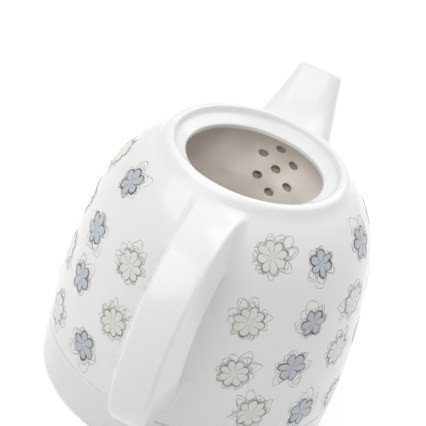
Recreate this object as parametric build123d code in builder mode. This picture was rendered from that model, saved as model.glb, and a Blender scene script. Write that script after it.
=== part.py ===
from build123d import *
import os
from math import acos, asin, atan2, cos, degrees, hypot, radians, sin, sqrt, tan

# A slip-cast ceramic teapot whose infuser is the pierced strainer in its own wall, behind the spout.
# Millimetres, +Z up. The origin is where the axis of the round body meets the table.
# The spout points along +X and the handle along -X.

# ---------------------------------------------------------------- driving sizes

# Barrel: a nearly straight side that runs into a rounder shoulder
pot_height = 141.5          # table to the crest of the rim
belly_radius = 75.3         # at the widest place
belly_height = 40.5         # height of the widest place
side_curve = 313.0          # radius of the side, seen from the front
shoulder_curve = 58.0       # radius of the shoulder
body_wall = 5.0
floor_thickness = 6.0
floor_rise = 4.0            # inside of the floor above the barrel's outer foot
floor_fillet = 12.0         # inside corner between wall and floor

# Rim: a half-round bead, and inside it a ledge that seats a lid or a basket
rim_radius = 44.0           # at the crest of the bead
bead_radius = 2.2
bead_rise = 3.1             # crest above the shoulder beside it
bead_foot_fillet = 1.6      # outside, where the bead stands on the shoulder
bead_foot_share = 0.95      # most that this fillet takes of the straight below the bead's round
collar_reach = 3.0          # how far the rim ring goes on along the shoulder
seat_depth = 2.6            # crest down to the outer edge of the ledge
seat_drop = 3.6             # fall of the ledge towards the mouth
mouth_radius = 34.7
ledge_edge = 2.6            # thickness of the ledge at the mouth
ledge_round = 0.7

# Strainer: a round panel of the wall with staggered holes
strainer_drop = 40.8        # crest down to the middle of the panel
panel_radius = 20.5
strain_hole = 2.5           # radius of one hole
hole_row_gap = 15.8         # between holes of one column
hole_column_gap = 9.0       # between neighbouring columns

# Base cup: holds the barrel's spigot, with an open seam between the two
seam_height = 24.7          # middle of the seam
seam_gap = 0.7
seam_round = 0.5            # outer edge on each side of the seam
spigot_depth = 7.0          # how deep the barrel reaches into the cup
spigot_inset = 7.5          # spigot behind the outside of the seam
spigot_width = 9.0
spigot_clearance = 0.2
base_floor = 4.0
base_seat_width = 5.0       # ring that the spigot stands on
foot_width = 7.0
foot_recess = 1.8
foot_round = 4.0

# Spout: stations from the wall to the lip, each a rounded rectangle
spout_wall = 3.2
spout_root_depth = 12.0     # root station behind the outside of the wall at the strainer
spout_root_top = 15.5       # crest of the rim down to the root's upper edge
spout_root_height = 68.0
spout_root_width = 47.0
spout_throat_reach = 68.0   # radius of the throat's upper edge
spout_throat_top = 12.5
spout_throat_height = 49.0
spout_throat_width = 44.0
spout_throat_tilt = 14.0    # degrees that the station leans out at its foot
spout_neck_reach = 80.0
spout_neck_top = 6.3
spout_neck_height = 29.0
spout_neck_width = 33.8
spout_neck_tilt = 38.0
spout_lip_reach = 96.0      # radius of the lip's upper edge
spout_lip_rise = 6.3        # lip's upper edge above the crest of the rim
spout_lip_height = 17.0
spout_lip_width = 23.2
spout_lip_tilt = 50.0
spout_corner_share = 0.36   # corner radius over the smaller side of a station
spout_lip_corner_share = 0.32
spout_lip_round = 1.1       # both edges of the lip
spout_round_share = 0.4     # most that one round takes of the lip's wall

# Handle: a hollow strap, narrower outside than inside
handle_reach = 120.0        # axis to the outer face
handle_drop = 6.0           # crest of the rim down to the strap's top
handle_foot = 31.0          # table up to the strap's underside
handle_top_bend = 58.0      # radius of the upper bend, on the outer face
handle_low_bend = 38.0
handle_depth = 23.5
handle_root_face = 26.0     # width of the outer face at the rim
handle_top_face = 22.5      # ... where the upper bend starts
handle_low_face = 16.5      # ... where the lower bend ends
handle_foot_face = 20.0     # ... where the foot of the strap meets the barrel
handle_root_splay = 4.0     # how much each flank widens towards the hand's inside, up to the upper bend
handle_splay = 7.0          # ... from the grip on
handle_round = 3.6
handle_wall = 3.8
handle_run_in = 10.0        # how far inside the seam's radius the strap's foot starts, before it is cut

# ---------------------------------------------------------------- derived places

side_centre = (belly_radius - side_curve, belly_height)
bead_height = pot_height - bead_radius
neck_radius = rim_radius + bead_radius
neck_height = pot_height - bead_rise

# The shoulder is tangent to the side and passes through the foot of the bead
centre_gap = side_curve - shoulder_curve
neck_span = hypot(neck_radius - side_centre[0], neck_height - side_centre[1])
neck_direction = atan2(neck_height - side_centre[1], neck_radius - side_centre[0])
shoulder_turn = acos((neck_span**2 + centre_gap**2 - shoulder_curve**2) / (2 * centre_gap * neck_span))
shoulder_start = neck_direction - shoulder_turn
shoulder_centre = (side_centre[0] + centre_gap * cos(shoulder_start),
                   side_centre[1] + centre_gap * sin(shoulder_start))
shoulder_height = side_centre[1] + side_curve * sin(shoulder_start)
neck_angle = atan2(neck_height - shoulder_centre[1], neck_radius - shoulder_centre[0])
bead_foot_room = (bead_height - neck_height) / tan(neck_angle / 2)
collar_angle = acos((neck_radius + collar_reach - shoulder_centre[0]) / shoulder_curve)

seat_height = pot_height - seat_depth
mouth_top = seat_height - seat_drop
mouth_bottom = mouth_top - ledge_edge

barrel_foot = seam_height + seam_gap / 2
cup_top = seam_height - seam_gap / 2
spigot_foot = barrel_foot - spigot_depth
floor_top = barrel_foot + floor_rise
floor_under = floor_top - floor_thickness
strainer_height = pot_height - strainer_drop


def side_angle(height, inset=0.0):
    """Angle on the side's arc, in degrees, at a height."""
    return degrees(asin((height - side_centre[1]) / (side_curve - inset)))


def outside_radius(height):
    """Radius of the barrel's outside at a height."""
    if height <= shoulder_height:
        return side_centre[0] + sqrt(side_curve**2 - (height - side_centre[1]) ** 2)
    return shoulder_centre[0] + sqrt(shoulder_curve**2 - (height - shoulder_centre[1]) ** 2)


def outside_tilt(height):
    """Angle of the outside's normal above level, in radians."""
    if height <= shoulder_height:
        return asin((height - side_centre[1]) / side_curve)
    return asin((height - shoulder_centre[1]) / shoulder_curve)


def on_shoulder(angle, inset=0.0):
    """Point of the shoulder's arc, (radius, height), at an angle in radians."""
    radius = shoulder_curve - inset
    return (shoulder_centre[0] + radius * cos(angle), shoulder_centre[1] + radius * sin(angle))


seam_radius = outside_radius(seam_height)
spigot_radius = seam_radius - spigot_inset
socket_radius = spigot_radius + spigot_clearance
spigot_inner = spigot_radius - spigot_width
cavity_radius = spigot_radius - base_seat_width
foot_outer = outside_radius(0)
foot_inner = foot_outer - foot_round - foot_width


def wall_arcs(low, high_angle, inset=0.0):
    """Side and shoulder arcs from a height up to an angle of the shoulder, for the current line."""
    start = side_angle(low, inset)
    turn = degrees(shoulder_start)
    CenterArc(side_centre, side_curve - inset, start, turn - start)
    CenterArc(shoulder_centre, shoulder_curve - inset, turn, degrees(high_angle) - turn)


# ---------------------------------------------------------------- barrel and rim

def make_envelope():
    """Everything inside the outside of the barrel: what the spout and the handle stop at."""
    with BuildPart() as envelope:
        with BuildSketch(Plane.XZ):
            with BuildLine():
                wall_arcs(0, neck_angle)
                Polyline((neck_radius, neck_height), (0, neck_height), (0, 0), (foot_outer, 0))
            make_face()
        revolve(axis=Axis.Z)
    return envelope.part


def wall_section():
    """Half section of the barrel with its floor and spigot."""
    collar_inside = on_shoulder(collar_angle, body_wall)
    floor_angle = radians(side_angle(floor_top, body_wall))
    floor_radius = side_centre[0] + (side_curve - body_wall) * cos(floor_angle)
    with BuildSketch(Plane.XZ) as section:
        with BuildLine():
            wall_arcs(barrel_foot, collar_angle)
            Line(on_shoulder(collar_angle), collar_inside)
            wall_arcs(floor_top, collar_angle, body_wall)
            Polyline((floor_radius, floor_top), (0, floor_top), (0, floor_under),
                     (spigot_inner, floor_under), (spigot_inner, spigot_foot),
                     (spigot_radius, spigot_foot), (spigot_radius, barrel_foot),
                     (outside_radius(barrel_foot), barrel_foot))
        make_face()
        inside_corner = section.vertices().sort_by_distance((floor_radius, floor_top))[0]
        fillet(inside_corner, floor_fillet)
        seam_edge = section.vertices().sort_by_distance((outside_radius(barrel_foot), barrel_foot))[0]
        fillet(seam_edge, seam_round)
    return section.sketch


def make_panel_column():
    """The round column along X that divides the strainer panel from the barrel."""
    with BuildPart() as column:
        with BuildSketch(Plane.YZ):
            with Locations((0, strainer_height)):
                Circle(panel_radius)
        extrude(amount=belly_radius)
    return column.part


def make_body(panel_column):
    with BuildPart() as pot_body:
        add(wall_section())
        revolve(axis=Axis.Z)
        add(panel_column, mode=Mode.SUBTRACT)
    pot_body.part.label = "pot_body"
    export_step(pot_body.part, "parts/pot_body.step")


def make_rim():
    collar_outside = on_shoulder(collar_angle)
    collar_inside = on_shoulder(collar_angle, body_wall)
    with BuildPart() as rim_ring:
        with BuildSketch(Plane.XZ) as section:
            with BuildLine():
                CenterArc(shoulder_centre, shoulder_curve, degrees(collar_angle),
                          degrees(neck_angle - collar_angle))
                Line((neck_radius, neck_height), (neck_radius, bead_height))
                CenterArc((rim_radius, bead_height), bead_radius, 0, 180)
                Polyline((rim_radius - bead_radius, bead_height), (rim_radius - bead_radius, seat_height),
                         (mouth_radius, mouth_top), (mouth_radius, mouth_bottom),
                         collar_inside, collar_outside)
            make_face()
            bead_foot = section.vertices().sort_by_distance((neck_radius, neck_height))[0]
            fillet(bead_foot, min(bead_foot_fillet, bead_foot_share * bead_foot_room))
            ledge_corners = section.vertices().group_by(Axis.X)[0]
            fillet(ledge_corners, ledge_round)
        revolve(axis=Axis.Z)
    rim_ring.part.label = "rim_ring"
    export_step(rim_ring.part, "parts/rim_ring.step")


# ---------------------------------------------------------------- strainer

def hole_places():
    """Holes in three columns, as (sideways, height): three in the middle, two at each side."""
    middle = [(0, strainer_height + row * hole_row_gap) for row in (-1, 0, 1)]
    sides = [(side * hole_column_gap, strainer_height + row * hole_row_gap / 2)
             for side in (-1, 1) for row in (-1, 1)]
    return middle + sides


def hole_plane(sideways, height):
    """Plane on the wall's outside, square to the wall, at one hole."""
    radius = outside_radius(height)
    around = asin(sideways / radius)
    tilt = outside_tilt(height)
    normal = (cos(tilt) * cos(around), cos(tilt) * sin(around), sin(tilt))
    return Plane(origin=(radius * cos(around), sideways, height), z_dir=normal)


def make_strainer(panel_column):
    with BuildPart() as strainer_panel:
        add(wall_section())
        revolve(axis=Axis.Z)
        add(panel_column, mode=Mode.INTERSECT)
        for sideways, height in hole_places():
            with BuildSketch(hole_plane(sideways, height)):
                Circle(strain_hole)
            extrude(amount=2 * body_wall, both=True, mode=Mode.SUBTRACT)
    strainer_panel.part.label = "strainer_panel"
    export_step(strainer_panel.part, "parts/strainer_panel.step")


# ---------------------------------------------------------------- base cup

def make_base():
    with BuildPart() as base_cup:
        with BuildSketch(Plane.XZ) as section:
            with BuildLine():
                start = side_angle(0)
                CenterArc(side_centre, side_curve, start, side_angle(cup_top) - start)
                Polyline((outside_radius(cup_top), cup_top), (socket_radius, cup_top),
                         (socket_radius, spigot_foot), (cavity_radius, spigot_foot),
                         (cavity_radius, foot_recess + base_floor), (0, foot_recess + base_floor),
                         (0, foot_recess), (foot_inner, foot_recess), (foot_inner, 0), (foot_outer, 0))
            make_face()
            outer_corner = section.vertices().sort_by_distance((foot_outer, 0))[0]
            fillet(outer_corner, foot_round)
            seam_edge = section.vertices().sort_by_distance((outside_radius(cup_top), cup_top))[0]
            fillet(seam_edge, seam_round)
        revolve(axis=Axis.Z)
    base_cup.part.label = "base_cup"
    export_step(base_cup.part, "parts/base_cup.step")


# ---------------------------------------------------------------- spout

def spout_stations():
    """Stations as (plane, width, height, corner), from the root inside the wall to the lip."""
    root_reach = outside_radius(strainer_height) - spout_root_depth
    sizes = [
        (root_reach, -spout_root_top, spout_root_height, spout_root_width, 0.0),
        (spout_throat_reach, -spout_throat_top, spout_throat_height, spout_throat_width, spout_throat_tilt),
        (spout_neck_reach, -spout_neck_top, spout_neck_height, spout_neck_width, spout_neck_tilt),
        (spout_lip_reach, spout_lip_rise, spout_lip_height, spout_lip_width, spout_lip_tilt),
    ]
    corner_shares = [spout_corner_share] * 3 + [spout_lip_corner_share]
    stations = []
    for (reach, rise, height, width, tilt), share in zip(sizes, corner_shares):
        lean = radians(tilt)
        down = Vector(sin(lean), 0, -cos(lean))
        middle = Vector(reach, 0, pot_height + rise) + down * (height / 2)
        plane = Plane(origin=middle, x_dir=(0, 1, 0), z_dir=(cos(lean), 0, sin(lean)))
        stations.append((plane, width, height, share * min(width, height)))
    return stations


def make_spout(envelope):
    with BuildPart() as spout:
        for inset, mode in ((0.0, Mode.ADD), (spout_wall, Mode.SUBTRACT)):
            for plane, width, height, corner in spout_stations():
                with BuildSketch(plane):
                    RectangleRounded(width - 2 * inset, height - 2 * inset, max(corner - inset, inset / 2))
            loft(mode=mode)
        add(envelope, mode=Mode.SUBTRACT)
        lip_plane = spout_stations()[-1][0]
        lip = spout.faces().filter_by(GeomType.PLANE).sort_by_distance(lip_plane.origin)[0]
        fillet(lip.edges(), min(spout_lip_round, spout_round_share * spout_wall))
    spout.part.label = "spout"
    export_step(spout.part, "parts/spout.step")


# ---------------------------------------------------------------- handle

def handle_stations():
    """The strap's middle at its six stations, rim to foot, as (x, z, outward angle, outer face, splay)."""
    half = handle_depth / 2
    grip = -(handle_reach - half)
    top = pot_height - handle_drop - half
    foot = handle_foot + half
    top_bend = handle_top_bend - half
    low_bend = handle_low_bend - half
    middle_face = (handle_top_face + handle_low_face) / 2
    return [
        (bead_radius - rim_radius, top, 90, handle_root_face, handle_root_splay),
        (grip + top_bend, top, 90, handle_top_face, handle_root_splay),
        (grip, top - top_bend, 180, middle_face, handle_splay),
        (grip, foot + low_bend, 180, middle_face, handle_splay),
        (grip + low_bend, foot, 270, handle_low_face, handle_splay),
        (handle_run_in - seam_radius, foot, 270, handle_foot_face, handle_splay),
    ]


def make_handle(envelope):
    root, top_bend, grip_top, grip_foot, low_bend, foot = [station[:2] for station in handle_stations()]
    top_radius = top_bend[0] - grip_top[0]
    low_radius = low_bend[0] - grip_foot[0]
    with BuildPart() as handle:
        with BuildLine(Plane.XZ) as path:
            Line(root, top_bend)
            CenterArc((top_bend[0], grip_top[1]), top_radius, 90, 90)
            Line(grip_top, grip_foot)
            CenterArc((low_bend[0], grip_foot[1]), low_radius, 180, 90)
            Line(low_bend, foot)
        for inset, mode in ((0.0, Mode.ADD), (handle_wall, Mode.SUBTRACT)):
            for x, z, angle, face, splay in handle_stations():
                outward = Vector(cos(radians(angle)), 0, sin(radians(angle)))
                plane = Plane(origin=(x, 0, z), x_dir=(0, 1, 0), z_dir=(outward.Z, 0, -outward.X))
                with BuildSketch(plane) as section:
                    Trapezoid(face + 2 * splay, handle_depth, degrees(atan2(handle_depth, splay)))
                    if inset:
                        offset(amount=-inset, kind=Kind.INTERSECTION, mode=Mode.REPLACE)
                    fillet(section.vertices(), handle_round)
            sweep(path=path.wire(), multisection=True, mode=mode)
        add(envelope, mode=Mode.SUBTRACT)
    handle.part.label = "handle"
    export_step(handle.part, "parts/handle.step")


os.makedirs("parts", exist_ok=True)
barrel_envelope = make_envelope()
panel_column = make_panel_column()
make_body(panel_column)
make_rim()
make_strainer(panel_column)
make_base()
make_spout(barrel_envelope)
make_handle(barrel_envelope)
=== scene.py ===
"""The looks of a white glazed teapot with a pierced strainer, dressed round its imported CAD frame."""

import random
from itertools import accumulate
from math import acos, asin, atan2, ceil, cos, hypot, pi, prod, radians, sin, sqrt, tan

import bmesh
import bpy
from mathutils import Matrix, Vector


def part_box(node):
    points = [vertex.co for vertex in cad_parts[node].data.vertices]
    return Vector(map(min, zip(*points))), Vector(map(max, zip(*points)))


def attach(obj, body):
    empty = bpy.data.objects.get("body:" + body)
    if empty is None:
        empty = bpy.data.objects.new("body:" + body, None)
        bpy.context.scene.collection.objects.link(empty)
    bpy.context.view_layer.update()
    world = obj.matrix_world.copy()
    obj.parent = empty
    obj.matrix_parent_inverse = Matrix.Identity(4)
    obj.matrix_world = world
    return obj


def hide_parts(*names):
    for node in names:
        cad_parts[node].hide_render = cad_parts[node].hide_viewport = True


# The modelling below is in millimetres; box_mm() and make_piece() are where they meet the frame's metres.
# The camera and the lamps are placed in metres.
MM = 0.001

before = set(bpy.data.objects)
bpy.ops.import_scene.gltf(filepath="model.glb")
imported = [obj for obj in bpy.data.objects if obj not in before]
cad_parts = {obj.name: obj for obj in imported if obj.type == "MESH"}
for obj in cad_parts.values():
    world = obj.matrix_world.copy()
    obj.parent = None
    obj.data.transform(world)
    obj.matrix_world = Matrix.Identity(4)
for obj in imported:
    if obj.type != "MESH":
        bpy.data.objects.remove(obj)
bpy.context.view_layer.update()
BODY = "pot"


def box_mm(node):
    """Lowest and highest corner of a CAD node, in millimetres."""
    low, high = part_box(node)
    return low / MM, high / MM


# -------- sizes taken from the frame

body_low, body_high = box_mm("pot_body")
cup_low, cup_high = box_mm("base_cup")
panel_low, panel_high = box_mm("strainer_panel")
handle_low, handle_high = box_mm("handle")

pot_height = box_mm("rim_ring")[1].z
belly_radius = body_high.x
spigot_foot = body_low.z
cup_top = cup_high.z
strainer_height = (panel_low.z + panel_high.z) / 2
handle_reach = -handle_low.x
handle_top = handle_high.z
handle_underside = handle_low.z
foot_level = cup_low.z

# -------- sizes of the finish, most of them as in the CAD

belly_height = 40.5
side_curve = 313.0
shoulder_curve = 58.0
wall = 5.0
floor_rise = 4.0
floor_thickness = 6.0
floor_fillet = 12.0

rim_radius = 44.0
bead_radius = 2.2
bead_rise = 3.1
bead_round = 1.7
bead_slant = 0.5        # how far the bead's inner side leans in at its crest
bead_outer_round = 4.0
bead_foot = 3.6         # how far down the shoulder the bead's slanted outer side would meet it
bead_foot_fillet = 16.0
bead_skirt = 8.0        # how far down the shoulder the foot of the bead melts in
seat_depth = 2.6
seat_drop = 3.6
seat_edge = 1.2         # how far in from the bead the seat's fillet would have its corner
seat_fillet = 3.0
mouth_radius = 34.7
ledge_edge = 2.6
ledge_round = 1.1
inside_fade = 1.5 * ledge_edge      # how far below the ledge the inside's tone is full
inside_margin = 2.0     # what is this little wider than the mouth still counts as inside

strain_hole = 2.5
hole_row_gap = 15.8
hole_column_gap = 9.0
hole_round = 0.6

seam_gap = 0.7
seam_round = 0.4
seam_sunk = 0.35        # the joint's filling behind the outside
seam_filling = 1.0
seam_filled = 0.9       # height of the filling, as a share of the gap
spigot_inset = 7.5
spigot_width = 9.0
spigot_clearance = 0.2
base_floor = 4.0
base_seat_width = 5.0
foot_width = 7.0
foot_recess = 1.8
foot_round = 4.0
foot_edge_round = 0.8

spout_wall = 3.2
spout_root_depth = 12.0
spout_round = 1.2
handle_top_bend = 58.0
handle_low_bend = 38.0
handle_depth = 23.5
handle_faces = (26.0, 22.5, 19.5, 19.5, 16.5, 20.0)     # at the two roots and at the ends of the bends
handle_splays = (4.0, 4.0, 7.0, 7.0, 7.0, 7.0)
handle_run_in = 10.0
handle_round = 2.2
handle_crown = 0.5
handle_crown_start = 0.4        # where the crown begins, as a share of the way from middle to outer face

# -------- the barrel's outside

side_centre = (belly_radius - side_curve, belly_height)
neck_radius = rim_radius + bead_radius
neck_height = pot_height - bead_rise
centre_gap = side_curve - shoulder_curve
neck_span = hypot(neck_radius - side_centre[0], neck_height - side_centre[1])
neck_direction = atan2(neck_height - side_centre[1], neck_radius - side_centre[0])
shoulder_turn = acos((neck_span**2 + centre_gap**2 - shoulder_curve**2) / (2 * centre_gap * neck_span))
shoulder_start = neck_direction - shoulder_turn
shoulder_centre = (side_centre[0] + centre_gap * cos(shoulder_start),
                   side_centre[1] + centre_gap * sin(shoulder_start))
neck_tilt = atan2(neck_height - shoulder_centre[1], neck_radius - shoulder_centre[0])
neck_along = side_curve * shoulder_start + shoulder_curve * (neck_tilt - shoulder_start)
barrel_foot = cup_top + seam_gap


def wall_frame(along):
    """Radius, height, tilt and curve of the outside, a distance up the wall from its widest place."""
    tilt = along / side_curve
    if tilt <= shoulder_start:
        centre, curve = side_centre, side_curve
    else:
        tilt = shoulder_start + (along - side_curve * shoulder_start) / shoulder_curve
        centre, curve = shoulder_centre, shoulder_curve
    return centre[0] + curve * cos(tilt), centre[1] + curve * sin(tilt), tilt, curve


def wall_profile(along, depth=0.0):
    """Radius and height of a place in the wall, at a depth below the outside."""
    radius, height, tilt, _ = wall_frame(along)
    return radius - depth * cos(tilt), height - depth * sin(tilt)


def wall_point(around, along, depth=0.0):
    """A place in the wall as a point, at an angle round the axis."""
    radius, height = wall_profile(along, depth)
    return Vector((radius * cos(around), radius * sin(around), height))


def along_at(height):
    """How far up the wall the outside has a height."""
    tilt = asin(min((height - side_centre[1]) / side_curve, 1))
    if tilt <= shoulder_start:
        return side_curve * tilt
    tilt = asin((height - shoulder_centre[1]) / shoulder_curve)
    return side_curve * shoulder_start + shoulder_curve * (tilt - shoulder_start)


def wall_gap(point):
    """Distance of a point from the barrel's outside, and the outside's normal there."""
    radius = hypot(point.x, point.y)
    tilt = atan2(point.z - side_centre[1], radius - side_centre[0])
    centre, curve = side_centre, side_curve
    if tilt > shoulder_start:
        tilt = atan2(point.z - shoulder_centre[1], radius - shoulder_centre[0])
        centre, curve = shoulder_centre, shoulder_curve
    gap = hypot(radius - centre[0], point.z - centre[1]) - curve
    return gap, Vector((cos(tilt) * point.x / radius, cos(tilt) * point.y / radius, sin(tilt)))


def set_in_wall(point, depth):
    """The point moved along the outside's normal to a depth below the outside."""
    gap, normal = wall_gap(point)
    return point - normal * (gap + depth)


# -------- small tools

def rounded(corners, turn_step=radians(12)):
    """A line through (x, y, radius) corners, each turned by an arc of its radius."""
    line = [Vector(corners[0][:2])]
    for before, corner, after in zip(corners, corners[1:], corners[2:]):
        place = Vector(corner[:2])
        back, on = Vector(before[:2]) - place, Vector(after[:2]) - place
        room = 0.98 * min(back.length, on.length)
        back.normalize()
        on.normalize()
        opening = back.angle(on)
        if corner[2] <= 0 or abs(opening - pi) < radians(1):
            line.append(place)
            continue
        reach = min(corner[2] / tan(opening / 2), room)
        radius = reach * tan(opening / 2)
        centre = place + (back + on).normalized() * radius / sin(opening / 2)
        start, end = place + back * reach - centre, place + on * reach - centre
        turn = start.angle_signed(end)
        steps = max(2, ceil(abs(turn) / turn_step))
        for step in range(steps + 1):
            arm = start.copy()
            angle = -turn * step / steps
            line.append(centre + Vector((arm.x * cos(angle) - arm.y * sin(angle),
                                         arm.x * sin(angle) + arm.y * cos(angle))))
    line.append(Vector(corners[-1][:2]))
    return line


def divided(line, step):
    """The same line with no stretch longer than a step."""
    out = [line[0]]
    for start, end in zip(line, line[1:]):
        count = max(1, ceil((end - start).length / step))
        out += [start.lerp(end, i / count) for i in range(1, count + 1)]
    return out


def distances(line):
    """How far along a line each of its points lies."""
    return list(accumulate(((end - start).length for start, end in zip(line, line[1:])), initial=0.0))


def spline_value(stops, x):
    """A smooth curve through (x, value) stops."""
    i = max(0, min(len(stops) - 2, sum(stop[0] <= x for stop in stops) - 1))

    def slope(j):
        low, high = stops[max(j - 1, 0)], stops[min(j + 1, len(stops) - 1)]
        return (high[1] - low[1]) / (high[0] - low[0])

    (x0, y0), (x1, y1) = stops[i], stops[i + 1]
    span = x1 - x0
    u = min(max((x - x0) / span, 0), 1)
    return (y0 * (1 + 2 * u) * (1 - u) ** 2 + y1 * u * u * (3 - 2 * u)
            + span * (slope(i) * u * (1 - u) ** 2 - slope(i + 1) * u * u * (1 - u)))


def in_scene(name, data):
    """A new object in the scene."""
    thing = bpy.data.objects.new(name, data)
    bpy.context.scene.collection.objects.link(thing)
    return thing


def make_piece(name, points, faces, material, slot, nodes=(), shades=None, melted=False):
    """A smooth mesh piece that rides on the pot, takes its finish from its material and replaces CAD nodes,
    which it hides.

    Its slot is not used. Its shades are numbers for each point, by name.
    A melted piece has the barrel's own normals where it ends in it.
    """
    mesh = bpy.data.meshes.new(name)
    mesh.from_pydata([Vector(p) * MM for p in points], [], faces)
    for shade, values in (shades or {}).items():
        layer = mesh.attributes.new(shade, "FLOAT", "POINT")
        layer.data.foreach_set("value", values)
    work = bmesh.new()
    work.from_mesh(mesh)
    if nodes:
        bmesh.ops.recalc_face_normals(work, faces=work.faces)
    for face in work.faces:
        face.smooth = True
    work.to_mesh(mesh)
    work.free()
    if melted:
        gaps = [wall_gap(Vector(p)) for p in points]
        mesh.normals_split_custom_set_from_vertices(
            [normal if -cap_depth < gap < touching else Vector() for gap, normal in gaps])
    mesh.materials.append(material)
    piece = in_scene(name, mesh)
    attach(piece, BODY)
    if nodes:
        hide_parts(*nodes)
    return piece


def bridge(first, second):
    """Faces between two closed rings of point numbers."""
    count = len(first)
    return [(first[i], first[(i + 1) % count], second[(i + 1) % count], second[i]) for i in range(count)]


class Shape:
    """Points and faces as they are gathered."""

    def __init__(self):
        self.points = []
        self.faces = []

    def add(self, points):
        """The numbers that the points get."""
        start = len(self.points)
        self.points += [Vector(p) for p in points]
        return list(range(start, len(self.points)))

    def join(self, rings):
        """Faces between each ring and the next."""
        for first, second in zip(rings, rings[1:]):
            self.faces += bridge(first, second)

    def fan(self, ring, centre):
        """Triangles from a ring to its centre."""
        middle = self.add([centre])[0]
        count = len(ring)
        self.faces += [(ring[i], ring[(i + 1) % count], middle) for i in range(count)]

    def revolve(self, profile):
        """Rings round the axis for all of a profile but its two ends, which lie on the axis."""
        turns = [2 * pi * j / COLUMNS for j in range(COLUMNS)]
        return [self.add([(p.x * cos(t), p.x * sin(t), p.y) for t in turns]) for p in profile[1:-1]]

    def close(self, rings, profile):
        """Fans from the first and the last ring to the profile's ends."""
        self.fan(rings[0], (0, 0, profile[0].y))
        self.fan(rings[-1], (0, 0, profile[-1].y))


# -------- materials

def shader(name):
    """A new material, its node tree and its shader."""
    material = bpy.data.materials.new(name)
    material.use_nodes = True
    tree = material.node_tree
    return material, tree, tree.nodes["Principled BSDF"]


def connect(tree, node, inputs):
    """Sets each input of a node to a number or colour, or links it to an output."""
    for name, value in inputs.items():
        if isinstance(value, bpy.types.NodeSocket):
            tree.links.new(value, node.inputs[name])
        else:
            node.inputs[name].default_value = (*value, 1) if isinstance(value, tuple) else value


def node(tree, kind, inputs=None, **settings):
    """A new node of a kind."""
    made = tree.nodes.new("ShaderNode" + kind)
    for name, value in settings.items():
        setattr(made, name, value)
    connect(tree, made, inputs or {})
    return made


def noise(tree, scale, detail=2.0):
    """Noise in the object's own coordinates, which are metres."""
    place = node(tree, "TexCoord").outputs["Object"]
    return node(tree, "TexNoise", {"Scale": scale, "Detail": detail, "Vector": place}).outputs["Fac"]


def ranged(tree, value, low, high):
    """Noise from its usual range on to another."""
    ends = {"From Min": 0.2, "From Max": 0.8, "To Min": low, "To Max": high}
    return node(tree, "MapRange", {"Value": value, **ends}).outputs["Result"]


def mixed(tree, factor, first, second):
    """Colour between two, each a colour or a socket."""
    return node(tree, "Mix", {"Factor": factor, "A": first, "B": second}, data_type="RGBA").outputs["Result"]


def painted(tree, shade):
    """A shade stored for each point of the mesh, by name."""
    return node(tree, "Attribute", attribute_name=shade).outputs["Fac"]


def bump(tree, scale, distance, under=None):
    """Normals of a noise of a scale, as high as a distance in metres, on those of another bump."""
    made = node(tree, "Bump", {"Strength": 0.08, "Distance": distance, "Height": noise(tree, scale, 1.0)})
    if under:
        connect(tree, made, {"Normal": under})
    return made.outputs["Normal"]


def glossy_finish(tree, shade):
    """What every glazed surface shares: gloss that varies a little, slow waves and a fine orange peel."""
    waves = bump(tree, 38, 0.0006)
    connect(tree, shade, {
        "IOR": 1.5,
        "Coat Weight": 0.25,
        "Coat Roughness": 0.08,
        "Roughness": ranged(tree, noise(tree, 90), 0.17, 0.25),
        "Normal": bump(tree, 700, 0.00008, waves),
    })


def white_glaze(name, colour, shaded, inside=None):
    """White glaze whose colour drifts between two near tones; `inside` is its tone within the pot.

    Inside the strainer's holes it has the darker warm tone PAINTED_HOLE_SHADE, which is painted shade in the
    bores.
    """
    material, tree, shade = shader(name)
    tone = mixed(tree, ranged(tree, noise(tree, 22), 0, 1), colour, shaded)
    if inside:
        tone = mixed(tree, painted(tree, "inside"), tone, inside)
        tone = mixed(tree, painted(tree, "painted_hole_shade"), tone, PAINTED_HOLE_SHADE)
    connect(tree, shade, {"Base Color": tone})
    glossy_finish(tree, shade)
    return material


def print_glaze(name, colour, faded, grain):
    """Transfer print under the glaze: a colour that fades in patches."""
    material, tree, shade = shader(name)
    tone = mixed(tree, ranged(tree, noise(tree, grain, 3.0), 0, 1), colour, faded)
    connect(tree, shade, {"Base Color": tone})
    glossy_finish(tree, shade)
    return material


WHITE = (0.865, 0.865, 0.86)
WHITE_SHADED = (0.857, 0.857, 0.852)
INSIDE = (0.905, 0.862, 0.815)
# Darker warm tone of the strainer's bores: painted shade where little light enters the holes.
PAINTED_HOLE_SHADE = (0.48, 0.40, 0.32)

pot_glaze = white_glaze("pot_glaze", WHITE, WHITE_SHADED, INSIDE)
plain_glaze = white_glaze("plain_glaze", WHITE, WHITE_SHADED)
# The cup's white is the barrel's white set a little darker: painted shade on the part below the seam.
cup_glaze_painted_shade = white_glaze("cup_glaze_painted_shade", (0.83, 0.83, 0.825), (0.822, 0.822, 0.817))
blue_ink = print_glaze("blue_ink", (0.46, 0.485, 0.525), (0.60, 0.63, 0.67), 45)
cream_ink = print_glaze("cream_ink", (0.775, 0.755, 0.685), (0.775, 0.79, 0.79), 130)
dark_pencil = print_glaze("dark_pencil", (0.03, 0.03, 0.035), (0.15, 0.15, 0.16), 500)
brown_pencil = print_glaze("brown_pencil", (0.16, 0.135, 0.10), (0.52, 0.48, 0.42), 400)
pale_pencil = print_glaze("pale_pencil", (0.26, 0.25, 0.235), (0.56, 0.55, 0.53), 500)


# -------- the pot's wall, rim and floor

COLUMNS = 192
CELL_ROWS = 8           # rows of the grid in the cell of one hole
CELL_COLUMNS = 4
CELL_SHARES = (0.35, 0.68)      # places of the rings between a cell's edge and its hole, as shares of the way
LOW_STEP = 2.0          # longest stretch up the wall below the strainer, and above it
HIGH_STEP = 1.2
RIM_STEP = 1.2          # and along the profiles of the rim, the floor, the underside and the cup
FLOOR_STEP = 4.0
UNDER_STEP = 6.0
CUP_STEP = 4.0
CUP_SIDE_STEPS = 8
row_step = hole_row_gap / CELL_ROWS


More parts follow.
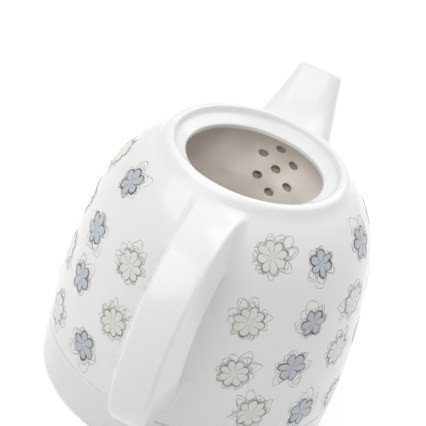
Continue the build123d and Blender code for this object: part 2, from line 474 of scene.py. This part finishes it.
def wall_rows():
    """Distances up the wall of the grid's rows, with the strainer's rows at even heights."""
    low, high = along_at(barrel_foot + seam_round), neck_along - bead_skirt
    reach = CELL_ROWS + CELL_ROWS // 2
    strainer = [along_at(strainer_height + i * row_step) for i in range(-reach, reach + 1)]
    below = divided([Vector((low, 0)), Vector((strainer[0], 0))], LOW_STEP)
    above = divided([Vector((strainer[-1], 0)), Vector((high, 0))], HIGH_STEP)
    return [p.x for p in below[:-1]] + strainer + [p.x for p in above[1:]]


def hole_cells():
    """First row and first column of each hole's cell, counted from the strainer's middle."""
    half_rows, half_columns = CELL_ROWS // 2, CELL_COLUMNS // 2
    middle = [(row * CELL_ROWS - half_rows, -half_columns) for row in (-1, 0, 1)]
    sides = [(row, column) for row in (-CELL_ROWS, 0)
             for column in (-half_columns - CELL_COLUMNS, half_columns)]
    return middle + sides


def cell_edge():
    """Row and column steps round a cell, from the middle of its right side, the way of rising angles."""
    half_rows, half_columns = CELL_ROWS // 2, CELL_COLUMNS // 2
    right = [(row, half_columns) for row in range(-half_rows, half_rows)]
    top = [(half_rows, column) for column in range(half_columns, -half_columns, -1)]
    left, bottom = [[(-row, -column) for row, column in side] for side in (right, top)]
    return right[half_rows:] + top + left + bottom + right[:half_rows]


def hole_ring(around, along, radius, depth, skin):
    """A circle on the wall's outside (skin 0) or inside (skin = wall), sunk by a depth into the wall."""
    count = len(cell_edge())
    level = depth if skin == 0 else skin - depth
    mid_radius, _, tilt, curve = wall_frame(along)
    across_step = 1 / (mid_radius - skin * cos(tilt))
    along_step = curve / (curve - skin)
    turns = [2 * pi * i / count for i in range(count)]
    return [wall_point(around + radius * cos(t) * across_step, along + radius * sin(t) * along_step, level)
            for t in turns]


def make_pot():
    """Barrel, rim and strainer as one glazed skin, closed, with the holes through it."""
    rows = wall_rows()
    floor_top = barrel_foot + floor_rise
    floor_under = floor_top - floor_thickness
    inner_curve = side_curve - wall
    fillet_height = floor_top + floor_fillet - side_centre[1]
    fillet_radius = side_centre[0] + sqrt((inner_curve - floor_fillet) ** 2 - fillet_height**2)
    inside_foot = asin(fillet_height / (inner_curve - floor_fillet)) * side_curve
    inner_rows = [along for along in rows if along > inside_foot + 1]
    collar_inside = wall_profile(inner_rows[-1], wall)
    spigot_radius = wall_frame(along_at(cup_top + seam_gap / 2))[0] - spigot_inset
    spigot_inner = spigot_radius - spigot_width
    seat_height = pot_height - seat_depth
    mouth_top = seat_height - seat_drop
    seat_radius = rim_radius - bead_radius
    seat_slope = seat_drop / (seat_radius - mouth_radius)

    floor = divided([Vector((0.0, floor_top)), Vector((fillet_radius, floor_top))], FLOOR_STEP)
    floor += [Vector((fillet_radius + floor_fillet * cos(a),
                      floor_top + floor_fillet + floor_fillet * sin(a)))
              for a in map(radians, range(-84, 1, 6))]
    inner = [Vector(wall_profile(along, wall)) for along in inner_rows]
    rim = divided(rounded([
        (*collar_inside, 0),
        (mouth_radius, mouth_top - ledge_edge, ledge_round),
        (mouth_radius, mouth_top, ledge_round),
        (seat_radius - seat_edge, seat_height - seat_edge * seat_slope, seat_fillet),
        (seat_radius + bead_slant, pot_height, bead_round),
        (neck_radius - bead_slant, pot_height, bead_outer_round),
        (*wall_profile(neck_along - bead_foot), bead_foot_fillet),
        (*wall_profile(rows[-1]), 0),
    ]), RIM_STEP)
    outer = [Vector(wall_profile(along)) for along in reversed(rows)]
    foot_radius = wall_frame(along_at(barrel_foot))[0]
    under = divided(rounded([
        (*wall_profile(rows[0]), 0),
        (foot_radius, barrel_foot, seam_round),
        (spigot_radius, barrel_foot, 0),
        (spigot_radius, spigot_foot, 0),
        (spigot_inner, spigot_foot, 0),
        (spigot_inner, floor_under, 0),
        (0.0, floor_under, 0),
    ]), UNDER_STEP)

    profile = floor + inner + rim[1:-1] + outer + under[1:]
    inner_start = len(floor)
    outer_start = len(floor) + len(inner) + len(rim) - 2
    strainer_row = rows.index(along_at(strainer_height))
    inner_middle = inner_start + strainer_row - (len(rows) - len(inner_rows))
    outer_middle = outer_start + len(rows) - 1 - strainer_row

    shape = Shape()
    revolved = shape.revolve(profile)
    rings = [None, *revolved, None]     # numbered as the profile, whose two ends have no ring

    open_cells = {(k, (column + j) % COLUMNS) for row, column in hole_cells()
                  for i in range(row, row + CELL_ROWS) for k in (inner_middle + i, outer_middle - i - 1)
                  for j in range(CELL_COLUMNS)}
    for k in range(1, len(profile) - 2):
        for j in range(COLUMNS):
            if (k, j) not in open_cells:
                after = (j + 1) % COLUMNS
                shape.faces.append((rings[k][j], rings[k][after], rings[k + 1][after], rings[k + 1][j]))
    shape.close(revolved, profile)

    # Points in the bores of the holes, which get the painted shade.
    painted_hole_shade = set()
    round_turns = [radians(a) for a in (0, 22.5, 45, 67.5, 90)]
    for row, column in hole_cells():
        middle_row, middle_column = row + CELL_ROWS // 2, column + CELL_COLUMNS // 2
        along = rows[strainer_row + middle_row]
        around = asin(middle_column / CELL_COLUMNS * hole_column_gap / wall_frame(along)[0])
        ends = []
        for skin, middle, way in ((0, outer_middle, -1), (wall, inner_middle, 1)):
            edge = [rings[middle + way * (middle_row + r)][(middle_column + c) % COLUMNS]
                    for r, c in cell_edge()]
            edge_points = [shape.points[i] for i in edge]
            rim_circle = hole_ring(around, along, strain_hole + hole_round, 0, skin)
            hole_rings = [edge]
            for share in CELL_SHARES:
                hole_rings.append(shape.add([set_in_wall(place.lerp(circle, share), skin)
                                             for place, circle in zip(edge_points, rim_circle)]))
            for turn in round_turns:
                radius = strain_hole + hole_round * (1 - sin(turn))
                sunk = hole_round * (1 - cos(turn))
                hole_rings.append(shape.add(hole_ring(around, along, radius, sunk, skin)))
            painted_hole_shade.update(hole_rings[-1] + hole_rings[-2])
            shape.join(hole_rings)
            ends.append(hole_rings[-1])
        shape.join(ends)

    closed = []
    for p in shape.points:
        depth = (mouth_top - p.z) / inside_fade
        held = hypot(p.x, p.y) < mouth_radius + inside_margin or wall_gap(p)[0] < -wall / 2
        closed.append(min(max(depth, 0), 1) if held else 0.0)
    return make_piece("glazed_pot", shape.points, shape.faces, pot_glaze, "white_glaze",
                      ("pot_body", "rim_ring", "strainer_panel"),
                      {"inside": closed, "painted_hole_shade": [float(i in painted_hole_shade) for i in range(len(shape.points))]})


def make_cup():
    """The foot below the seam, closed, with its recess underneath, the socket and the filling of the seam."""
    seam_radius = wall_frame(along_at(cup_top + seam_gap / 2))[0]
    cup_outer = wall_frame(along_at(cup_top))[0]
    spigot_radius = seam_radius - spigot_inset
    socket_radius = spigot_radius + spigot_clearance
    cavity_radius = spigot_radius - base_seat_width
    foot_outer = wall_frame(along_at(foot_level))[0]
    foot_inner = foot_outer - foot_round - foot_width
    inside = foot_level + foot_recess + base_floor
    above_round = along_at(foot_level + 1.25 * foot_round)
    top = along_at(cup_top - 2 * seam_round)
    side = [wall_profile(above_round + (top - above_round) * i / CUP_SIDE_STEPS)
            for i in range(CUP_SIDE_STEPS + 1)]
    profile = divided(rounded([
        (0.0, foot_level + foot_recess, 0),
        (foot_inner, foot_level + foot_recess, foot_edge_round),
        (foot_inner, foot_level, foot_edge_round),
        (foot_outer, foot_level, foot_round),
        *[(*place, 0) for place in side],
        (cup_outer, cup_top, seam_round),
        (cup_outer - seam_sunk, cup_top, 0),
        (cup_outer - seam_sunk, cup_top + seam_filled * seam_gap, 0),
        (cup_outer - seam_filling, cup_top + seam_filled * seam_gap, 0),
        (cup_outer - seam_filling, cup_top, 0),
        (socket_radius, cup_top, 0),
        (socket_radius, spigot_foot, 0),
        (cavity_radius, spigot_foot, 0),
        (cavity_radius, inside, 0),
        (0.0, inside, 0),
    ]), CUP_STEP)
    shape = Shape()
    rings = shape.revolve(profile)
    shape.join(rings)
    shape.close(rings, profile)
    return make_piece("base_cup_glazed", shape.points, shape.faces, cup_glaze_painted_shade, "base_glaze", ("base_cup",))


# -------- tubes that grow out of the barrel

tucked_reach = 1.2      # how far a root's edge goes on past its fillet, and how far it dips into the wall
tucked_depth = 0.35
melt_depth = 0.02       # how deep a fillet's end lies in the wall
cap_depth = 1.2         # how deep a root is closed
touching = 0.01         # a point no farther out than this counts as on the wall

top_fillet = 4.5        # reach along the strap of its upper root's fillet, and what the outer face adds to it
top_fillet_outer = 4.5
foot_fillet = 5.0
spout_fillet = 5.5
top_spread = 4.0        # reach of the same fillets over the wall
foot_spread = 4.5
spout_spread = 5.0

handle_rows = 120       # rows of the grid along the strap, and along the spout outside and inside
spout_rows = 40
strap_search = 30.0     # the strap is out of the wall this far from each of its ends
spout_search = 0.6      # and the spout at this share of its length
inner_clear = 0.3       # how far the spout's inside stops short of the barrel's outside
inner_tuck = 0.4        # and its last ring lies at this share of the way to the root's edge


def crossing(line, inside, outside, halvings=40):
    """Where a line, a function of one number, comes out of the barrel."""
    for _ in range(halvings):
        middle = (inside + outside) / 2
        if wall_gap(line(middle))[0] < 0:
            inside = middle
        else:
            outside = middle
    return (inside + outside) / 2


def root_rings(starts, corners, wall_reach, steps=9):
    """Rings from a tube's own ring down to the barrel: each point turns by a fillet into its outside.

    The corners are where the tube's lines would meet the barrel.
    wall_reach is how far the fillet goes on from there.
    """
    centre = sum(corners, Vector()) / len(corners)
    feet = []
    for i, (start, corner) in enumerate(zip(starts, corners)):
        normal = wall_gap(corner)[1]
        away = (corners[(i + 1) % len(corners)] - corners[i - 1]).cross(normal).normalized()
        if away.dot(corner - centre) < 0:
            away = -away
        feet.append((start, corner, corner + away * wall_reach))
    rings = []
    for step in range(1, steps + 1):
        u = step / steps
        ring = []
        for start, corner, foot in feet:
            place = start.lerp(corner, u).lerp(corner.lerp(foot, u), u)
            gap, normal = wall_gap(place)
            ring.append(place + normal * (wall_gap(start)[0] * (1 - u) ** 2 - melt_depth * u**2 - gap))
        rings.append(ring)
    rings.append([set_in_wall(foot + (foot - corner) * tucked_reach / wall_reach, tucked_depth)
                  for _, corner, foot in feet])
    return rings


def tube_rings(point, starts, ends, rows):
    """Rings of a tube whose lines are point(k, place), from each line's start to its end."""
    return [[point(k, start + (end - start) * row / rows) for k, (start, end) in enumerate(zip(starts, ends))]
            for row in range(rows + 1)]


def cap_rings(ring, steps=4):
    """Rings, and the point in their middle, that close a root inside the wall, following the barrel."""
    centre = sum(ring, Vector()) / len(ring)
    rings = [[set_in_wall(point.lerp(centre, step / steps), cap_depth) for point in ring]
             for step in range(1, steps)]
    return rings, set_in_wall(centre, cap_depth)


# -------- handle

def handle_path(step=1.5, softenings=14):
    """Middle line of the strap from the rim to the foot, and the distances along it of the faces' places."""
    half = handle_depth / 2
    grip = half - handle_reach
    top, foot = handle_top - half, handle_underside + half
    top_bend, low_bend = handle_top_bend - half, handle_low_bend - half
    seam_radius = wall_frame(along_at(barrel_foot))[0]
    corners = [
        (bead_radius - rim_radius, top, 0),
        (grip, top, top_bend),
        (grip, foot, low_bend),
        (handle_run_in - seam_radius, foot, 0),
    ]
    line = divided(rounded(corners, radians(2)), step)
    runs = [grip + top_bend - corners[0][0], top_bend * pi / 2, top - top_bend - foot - low_bend,
            low_bend * pi / 2, corners[3][0] - grip - low_bend]
    for _ in range(softenings):
        line = [line[0]] + [(a + 2 * b + c) / 4 for a, b, c in zip(line, line[1:], line[2:])] + [line[-1]]
    return line, list(accumulate(map(abs, runs), initial=0.0))


def strap_outline(face, splay, flat=4, flat_steps=6):
    """Outline across the strap, as (sideways, outward), crowned outside; longer flats are cut into steps."""
    low, high = -handle_depth / 2, handle_depth / 2
    corners = [(0, high, 0), (face / 2, high, handle_round),
               (face / 2 + splay, low, handle_round), (0, low, 0)]
    right = rounded(corners, radians(10))
    filled = []
    for start, end in zip(right, right[1:]):
        count = flat_steps if (end - start).length > flat else 1
        filled += [start.lerp(end, i / count) for i in range(count)]
    right = filled + [right[-1]]
    outline = right + [Vector((-p.x, p.y)) for p in reversed(right[1:-1])]
    crowned = []
    for p in outline:
        share = min(max((p.y / high - handle_crown_start) / (1 - handle_crown_start), 0), 1)
        crowned.append(Vector((p.x, p.y - share * handle_crown * min(abs(p.x) / (face / 2), 1) ** 2)))
    return crowned


def make_handle():
    """The strap from root to root, closed at both ends inside the wall."""
    path, stops = handle_path()
    lengths = distances(path)
    total = lengths[-1]
    stops = [stop * total / stops[-1] for stop in stops]
    faces, splays = list(zip(stops, handle_faces)), list(zip(stops, handle_splays))
    sections = {}

    def section(distance):
        """Middle of the strap, its outward direction and its outline, at a distance along it."""
        key = round(distance, 3)
        if key not in sections:
            distance = min(max(key, 0.0), total)
            i = min(max(0, sum(length <= distance for length in lengths) - 1), len(path) - 2)
            share = (distance - lengths[i]) / (lengths[i + 1] - lengths[i])
            ahead = [(path[min(k + 1, len(path) - 1)] - path[max(k - 1, 0)]).normalized() for k in (i, i + 1)]
            along = ahead[0].lerp(ahead[1], share).normalized()
            outline = strap_outline(spline_value(faces, distance), spline_value(splays, distance))
            sections[key] = path[i].lerp(path[i + 1], share), Vector((along.y, -along.x)), outline
        return sections[key]

    def point(k, distance):
        middle, outward, outline = section(distance)
        across, out = outline[k]
        return Vector((middle.x + outward.x * out, across, middle.y + outward.y * out))

    outwards = [p.y / (handle_depth / 2) for p in section(0.0)[2]]
    count = len(outwards)
    top_hits = [crossing(lambda s: point(k, s), 0.0, strap_search) for k in range(count)]
    foot_hits = [crossing(lambda s: point(k, s), total, total - strap_search) for k in range(count)]
    starts = [hit + top_fillet + top_fillet_outer * max(out, 0) for hit, out in zip(top_hits, outwards)]
    ends = [hit - foot_fillet for hit in foot_hits]
    tube = tube_rings(point, starts, ends, handle_rows)
    top_root = root_rings(tube[0], [point(k, hit) for k, hit in enumerate(top_hits)], top_spread)
    foot_root = root_rings(tube[-1], [point(k, hit) for k, hit in enumerate(foot_hits)], foot_spread)
    rings = [*reversed(top_root), *tube, *foot_root]

    shape = Shape()
    numbers = [shape.add(ring) for ring in rings]
    shape.join(numbers)
    for ring, number in ((rings[0], numbers[0]), (rings[-1], numbers[-1])):
        caps, middle = cap_rings(ring)
        cap_numbers = [number] + [shape.add(cap) for cap in caps]
        shape.join(cap_numbers)
        shape.fan(cap_numbers[-1], middle)
    return make_piece("glazed_handle", shape.points, shape.faces, plain_glaze, "white_glaze", ("handle",),
                      melted=True)


# -------- spout

spout_stops = (     # upper edge's radius and rise over the rim's crest, height, width, tilt, corner's share
    (wall_frame(along_at(strainer_height))[0] - spout_root_depth, -15.5, 68.0, 47.0, 0.0, 0.36),
    (68.0, -12.5, 49.0, 44.0, 14.0, 0.36),
    (80.0, -6.3, 29.0, 33.8, 38.0, 0.36),
    (96.0, 6.3, 17.0, 23.2, 50.0, 0.32),
)


def spout_outline(width, height, corner):
    """A rounded rectangle as (sideways, upward), the same number of points for every size."""
    steps, side_steps = 9, 5
    points = []
    for turn, sx, sy in ((0, 1, 1), (1, -1, 1), (2, -1, -1), (3, 1, -1)):
        centre = Vector((sx * (width / 2 - corner), sy * (height / 2 - corner)))
        arc = [centre + corner * Vector((cos(a), sin(a)))
               for a in [pi / 2 * (turn + i / steps) for i in range(steps + 1)]]
        if points:
            points += [points[-1].lerp(arc[0], i / side_steps) for i in range(1, side_steps)]
        points += arc
    points += [points[-1].lerp(points[0], i / side_steps) for i in range(1, side_steps)]
    return points


def spout_ring(stop, inset, back=0.0):
    """A station's outline, inset all round and moved back from its plane towards the pot."""
    reach, rise, height, width, tilt, corner_share = stop
    lean = radians(tilt)
    up = Vector((-sin(lean), 0, cos(lean)))
    facing = Vector((cos(lean), 0, sin(lean)))
    middle = Vector((reach, 0, pot_height + rise)) - up * (height / 2) - facing * back
    corner = max(corner_share * min(width, height) - inset, inset / 2)
    outline = spout_outline(width - 2 * inset, height - 2 * inset, corner)
    return [middle + Vector((0, p.x, 0)) + up * p.y for p in outline]


def lagrange_weights(knots, u):
    """How much each knot counts at u on the smooth curve through all of them."""
    return [prod((u - other) / (knot - other) for other in knots if other != knot) for knot in knots]


def make_spout():
    """The spout's skin, outside, over the lip and inside, closed where it is tucked into the wall."""
    shells = {inset: [spout_ring(stop, inset) for stop in spout_stops] for inset in (0.0, spout_wall)}
    spans = distances([sum(ring, Vector()) / len(ring) for ring in shells[0.0]])
    length = spans[-1]
    knots = [span / length for span in spans]

    def point(k, u, inset):
        weighted = zip(shells[inset], lagrange_weights(knots, u))
        return sum((ring[k] * weight for ring, weight in weighted), Vector())

    def came_through(k, inset, clear):
        return crossing(lambda u: point(k, u, inset) + Vector((clear, 0, 0)), 0.0, spout_search)

    count = len(shells[0.0][0])
    end = 1 - spout_round / length
    hits = [came_through(k, 0.0, 0.0) for k in range(count)]
    starts = [hit + spout_fillet / length for hit in hits]
    tube = tube_rings(lambda k, u: point(k, u, 0.0), starts, [end] * count, spout_rows)
    root = root_rings(tube[0], [point(k, hit, 0.0) for k, hit in enumerate(hits)], spout_spread)
    turns = [radians(a) for a in (18, 36, 54, 72, 90)]
    lip = [spout_ring(spout_stops[-1], spout_round * (1 - cos(a)), spout_round * (1 - sin(a))) for a in turns]
    lip += [spout_ring(spout_stops[-1], spout_wall - spout_round * (1 - cos(a)), spout_round * (1 - sin(a)))
            for a in reversed(turns)]
    inner_hits = [came_through(k, spout_wall, inner_clear) for k in range(count)]
    inner = tube_rings(lambda k, u: point(k, u, spout_wall), [end] * count, inner_hits, spout_rows)
    tucked = [set_in_wall(inner_place.lerp(outer_place, inner_tuck), cap_depth)
              for inner_place, outer_place in zip(inner[-1], root[-1])]
    shape = Shape()
    numbers = [shape.add(ring) for ring in (*reversed(root), *tube, *lip, *inner, tucked)]
    shape.join([*numbers, numbers[0]])
    return make_piece("glazed_spout", shape.points, shape.faces, plain_glaze, "white_glaze", ("spout",),
                      melted=True)


# -------- the print

PRINT_LIFT = 0.03       # how far the lowest lines lie above the mesh of the wall
STROKE_STEP = 0.002     # between a line and the next, so that no two lie in one surface
FILL_STEP = 0.016       # between the lines and the colour on them, and from that to the lines on it
ROW_HEIGHTS = (39.5, 66.5, 93.5, 120.5)
BLOSSOM_GAP = 31.0
BLOSSOM_REACH = 8.0
BLOSSOM_TURN = 0.1      # how far the rows are turned round, as a share of the gap
BLOSSOM_STRAY = 3.4     # how far a blossom strays from its even place round the wall, and up the wall
BLOSSOM_STRAY_UP = 3.2
KIND_KEPT = 0.85        # share of blossoms that keep to the turn of their kind
SPOUT_CLEAR = 29        # no blossom this near the spout's middle between these heights
SPOUT_ROOT = (60, 133)
HANDLE_CLEAR = 20       # and none this near the handle's above the first height or below the second
HANDLE_TOP_ROOT = 108
HANDLE_FOOT_ROOT = 60
SEAM_CLEAR = 1          # room between the print and the seam
BLOSSOM_SIZES = (0.92, 1.08)
LOOPS = 3               # loops round each petal
LOOP_TILT = 0.25        # how far a loop leans from its petal at most, and how far its line drifts
LOOP_DRIFT = 0.9
FLOWER_DRIFT = 0.6
LOOP_PEN = (0.16, 0.36)         # least and most width of a loop's line
SEAM_PEN = (0.12, 0.25)         # width of a petal seam's line at the middle, and what it gains outward
OUTLINES = ((1.0, 0.2, 0.16, 0.7), (1.06, 0.9, 0.1, 0.5))       # size, drift, least and most width of each
BLOSSOM_KINDS = (       # petals, radius, how deep the notches are, fill, outline and seams between the petals
    (6, 7.3, 0.45, "blue", "dark", "dark"),
    (8, 7.7, 0.3, "cream", "brown", "pale"),
)
INKS = {
    "blue": (blue_ink, "blue_print"),
    "cream": (cream_ink, "cream_print"),
    "dark": (dark_pencil, "line_print"),
    "brown": (brown_pencil, "line_print"),
    "pale": (pale_pencil, "line_print"),
}


def on_wall(around, along, across, up, lift):
    """A point over a place on the wall, some way across and up from it, lifted off the wall."""
    radius = wall_frame(along + up)[0]
    return wall_point(around + across / radius, along + up, -lift)


class Print(Shape):
    """Flat print laid on the wall: filled shapes and pencil strokes."""

    def fill(self, place, outline, lift, rings=3):
        """A filled outline as rings that shrink to the place."""
        shares = [1 - step / rings for step in range(rings)]
        numbers = [self.add([on_wall(*place, *(p * share), lift) for p in outline]) for share in shares]
        self.join(numbers)
        self.fan(numbers[-1], on_wall(*place, 0, 0, lift))

    def stroke(self, place, line, width, lift, closed=True):
        """A pencil stroke along a line, as wide as width(share along the line)."""
        count = len(line)
        left, right = [], []
        for i, p in enumerate(line):
            before = line[i - 1] if closed or i else p
            after = line[(i + 1) % count] if closed or i < count - 1 else p
            ahead = (after - before).normalized()
            side = Vector((-ahead.y, ahead.x)) * width(i / count) / 2
            left.append(on_wall(*place, *(p + side), lift))
            right.append(on_wall(*place, *(p - side), lift))
        faces = bridge(self.add(right), self.add(left))
        self.faces += faces if closed else faces[:-1]


def rosette(petals, radius, notch, per_petal=14, bluntness=0.6):
    """Outline of a flower of round petals, its first petal along +X."""
    line = []
    for i in range(petals * per_petal):
        a = 2 * pi * i / (petals * per_petal)
        lobe = abs(cos(petals * a / 2)) ** bluntness
        line.append(radius * (1 - notch * (1 - lobe)) * Vector((cos(a), sin(a))))
    return line


def loop_of_petal(reach, width, count=25):
    """Open loop round a petal along +X, from near the flower's middle to its reach and back."""
    turns = [radians(-150 + 300 * i / (count - 1)) for i in range(count)]
    return [Vector((reach * (0.55 + 0.45 * cos(a)), width / 2 * sin(a))) for a in turns]


def turned(line, angle, size=1.0):
    """The line turned about the blossom's middle, and sized."""
    c, s = cos(angle), sin(angle)
    return [Vector((p.x * c - p.y * s, p.x * s + p.y * c)) * size for p in line]


def wobbled(line, dice, amount):
    """A hand-drawn version of a line: it drifts smoothly by up to an amount."""
    waves = [(dice.uniform(0.4, 1), dice.randint(1, 3), dice.uniform(0, 2 * pi)) for _ in range(4)]
    count = len(line)
    out = []
    for i, p in enumerate(line):
        a = 2 * pi * i / count
        dx = sum(w * sin(n * a + f) for w, n, f in waves[:2])
        dy = sum(w * sin(n * a + f) for w, n, f in waves[2:])
        out.append(p + Vector((dx, dy)) * amount / 2)
    return out


def blossom_places(dice):
    """Places of the blossoms in staggered rows round the wall, away from the roots of spout and handle."""
    places = []
    for row, height in enumerate(ROW_HEIGHTS):
        radius = wall_frame(along_at(height))[0]
        count = round(2 * pi * radius / BLOSSOM_GAP)
        for i in range(count):
            around = 2 * pi * (i + 0.5 * row + BLOSSOM_TURN) / count
            around += dice.uniform(-BLOSSOM_STRAY, BLOSSOM_STRAY) / radius
            along = along_at(height) + dice.uniform(-BLOSSOM_STRAY_UP, BLOSSOM_STRAY_UP)
            edge = [(BLOSSOM_REACH * cos(a), BLOSSOM_REACH * sin(a)) for a in [pi / 4 * k for k in range(8)]]
            if all(clear_of_roots(around, along, across, up) for across, up in edge):
                kind = (i + row) % 2 if dice.random() < KIND_KEPT else dice.randint(0, 1)
                places.append((around, along, kind))
    return places


def clear_of_roots(around, along, across, up):
    """Whether a point of a blossom's edge stays away from the roots of spout and handle."""
    p = on_wall(around, along, across, up, 0)
    if p.x > 0:
        return abs(p.y) >= SPOUT_CLEAR or not SPOUT_ROOT[0] < p.z < SPOUT_ROOT[1]
    return abs(p.y) >= HANDLE_CLEAR or HANDLE_FOOT_ROOT <= p.z <= HANDLE_TOP_ROOT


def pressure(dice, light, heavy):
    """Width of a stroke whose pressure swells and fades along it."""
    swells, start = dice.randint(2, 4), dice.uniform(0, 2 * pi)
    return lambda share: light + (heavy - light) * (0.5 + 0.5 * sin(2 * pi * swells * share + start)) ** 2


def draw_blossom(sheets, dice, place, kind):
    """One blossom: pale loops round its petals, longer on one side, a filled rosette and its pencil lines."""
    petals, radius, notch, ink, pencil, seam_pencil = kind
    size, facing, lean = dice.uniform(*BLOSSOM_SIZES), dice.uniform(0, 2 * pi), dice.uniform(0, 2 * pi)
    lift = PRINT_LIFT
    for k in range(petals):
        petal_angle = facing + 2 * pi * k / petals
        drawn_out = 0.25 + 0.75 * (0.5 + 0.5 * cos(petal_angle - lean)) ** 2
        for echo in range(LOOPS):
            reach = radius * size * (1.06 + 0.3 * (echo + dice.random()) * drawn_out)
            loop = loop_of_petal(reach, 3.4 * reach / petals)
            loop = wobbled(turned(loop, petal_angle + dice.uniform(-LOOP_TILT, LOOP_TILT)), dice, LOOP_DRIFT)
            width = pressure(dice, *LOOP_PEN)
            if place[1] + min(p.y for p in loop) > along_at(barrel_foot) + SEAM_CLEAR:
                lift += STROKE_STEP
                sheets["pale"].stroke(place, loop, width, lift, False)
    flower = wobbled(turned(rosette(petals, radius, notch), facing, size=size), dice, FLOWER_DRIFT)
    lift += FILL_STEP
    sheets[ink].fill(place, flower, lift)
    lift += FILL_STEP
    for k in range(petals):
        angle = facing + 2 * pi * (k + 0.5) / petals + dice.uniform(-0.12, 0.12)
        bend, reach = dice.uniform(-0.5, 0.5), dice.uniform(0.9, 1.05) * radius * (1 - notch) * size
        seam = [Vector((0.8 + (reach - 0.8) * u, bend * sin(pi * u))) for u in [i / 8 for i in range(9)]]
        sheets[seam_pencil].stroke(place, turned(seam, angle),
                                   lambda share: SEAM_PEN[0] + SEAM_PEN[1] * share, lift, False)
    for swell, drift, light, heavy in OUTLINES:
        line = wobbled([swell * p for p in flower], dice, drift)
        lift += STROKE_STEP
        sheets[pencil].stroke(place, line, pressure(dice, light, heavy), lift)


def make_print():
    """The blossoms, one open sheet for each colour."""
    dice = random.Random(11)
    sheets = {name: Print() for name in INKS}
    for around, along, kind in blossom_places(dice):
        draw_blossom(sheets, dice, (around, along), BLOSSOM_KINDS[kind])
    for name, (ink, slot) in INKS.items():
        make_piece("print_" + name, sheets[name].points, sheets[name].faces, ink, slot)


# -------- camera, floor and light

def make_camera():
    """The view from behind the handle and above, rolled; the rim's middle lies above and right of the aim."""
    turn, elevation, roll = radians(9.75), radians(29.39), radians(18.73)
    rim_aside, rim_above = radians(1.043), radians(1.368)
    distance = 1.2087
    ahead = Vector((cos(turn), sin(turn), 0))
    right = Vector((sin(turn), -cos(turn), 0))
    up = Vector((0, 0, cos(elevation))) + ahead * sin(elevation)
    back = Vector((0, 0, sin(elevation))) - ahead * cos(elevation)
    across = right * cos(roll) + up * sin(roll)
    upright = up * cos(roll) - right * sin(roll)
    aim = Vector((0, 0, -1)).rotation_difference(Vector((tan(rim_aside), tan(rim_above), -1)))

    data = bpy.data.cameras.new("camera")
    data.sensor_width = 36.0
    data.lens = 211.27
    camera = in_scene("camera", data)
    camera.rotation_mode = "QUATERNION"
    camera.rotation_quaternion = Matrix((across, upright, back)).transposed().to_quaternion() @ aim.inverted()
    camera.location = Vector((0, 0, pot_height * MM)) + back * distance
    bpy.context.scene.camera = camera


def white_to_the_eye(tree):
    """1 on rays that see the background straight, in a reflection or through glass."""
    path = node(tree, "LightPath").outputs
    seen = path["Is Camera Ray"]
    for ray in ("Is Glossy Ray", "Is Transmission Ray"):
        seen = node(tree, "Math", {0: seen, 1: path[ray]}, operation="MAXIMUM").outputs[0]
    return seen


def make_floor():
    """A pale floor which the eye sees as nearly white, with the pot's shadow on it."""
    size = 4.0
    mesh = bpy.data.meshes.new("floor")
    corners = [(-size, -size, 0), (size, -size, 0), (size, size, 0), (-size, size, 0)]
    mesh.from_pydata(corners, [], [(0, 1, 2, 3)])
    material, tree, shade = shader("floor_paper")
    share = node(tree, "Math", {0: white_to_the_eye(tree), 1: 0.35}, operation="MULTIPLY")
    connect(tree, shade, {
        "Base Color": (0.82, 0.82, 0.82),
        "Roughness": 0.9,
        "Specular IOR Level": 0.0,
        "Emission Color": (1, 1, 1),
        "Emission Strength": share.outputs[0],
    })
    mesh.materials.append(material)
    in_scene("floor", mesh)


def aimed(light, place, aim):
    """Puts a lamp at a place, turned to its aim."""
    light.location = place
    light.rotation_mode = "QUATERNION"
    light.rotation_quaternion = (aim - Vector(place)).to_track_quat("-Z", "Y")


MOUTH_LAMPS = (10, 12, 13, 15, 17, 18, 17, 15, 13, 11, 10, 8)     # watts of the small lamps over the mouth
MOUTH_SIDES = (140, 70)         # where their arc over the handle's side starts and how far it goes, degrees
MOUTH_LIFTS = (25, 33, 41)      # and how high they stand, in turn
MOUTH_DISTANCE = 1.3
MOUTH_AIM = 7.0         # how far below the rim they aim


def make_lights():
    """An even white room, two large soft lamps, and a row of small lamps that shine into the mouth."""
    world = bpy.data.worlds.new("studio")
    bpy.context.scene.world = world
    world.use_nodes = True
    tree = world.node_tree
    lit = tree.nodes["Background"]
    connect(tree, lit, {"Color": (1, 1, 1), "Strength": 0.55})
    seen = node(tree, "Background", {"Color": (1, 1, 1), "Strength": 1.0})
    mix = node(tree, "MixShader", {"Fac": white_to_the_eye(tree), 1: lit.outputs[0], 2: seen.outputs[0]})
    connect(tree, tree.nodes["World Output"], {"Surface": mix.outputs[0]})

    middle = Vector((0, 0, 0.08))
    for name, place, power in (("left", (-0.59, 0.70, 1.39), 10.5),
                               ("right_behind", (0.89, -0.51, 1.31), 8.6)):
        lamp = bpy.data.lights.new(name, "AREA")
        lamp.shape = "DISK"
        lamp.size = 1.6
        lamp.energy = power
        aimed(in_scene(name, lamp), place, middle)

    mouth = Vector((0, 0, (pot_height - MOUTH_AIM) * MM))
    first_side, arc = MOUTH_SIDES
    for i, power in enumerate(MOUTH_LAMPS):
        lamp = bpy.data.lights.new("mouth_%d" % i, "SPOT")
        lamp.energy = power
        lamp.spot_size = radians(1.5)
        lamp.spot_blend = 0.8
        lamp.shadow_soft_size = 0.005
        side = radians(first_side + arc * i / (len(MOUTH_LAMPS) - 1))
        lift = radians(MOUTH_LIFTS[i % len(MOUTH_LIFTS)])
        place = MOUTH_DISTANCE * Vector((cos(lift) * cos(side), cos(lift) * sin(side), sin(lift)))
        aimed(in_scene(lamp.name, lamp), mouth + place, mouth)


make_pot()
make_cup()
make_handle()
make_spout()
make_print()
make_camera()
make_floor()
make_lights()

bpy.context.scene.view_settings.view_transform = "Standard"
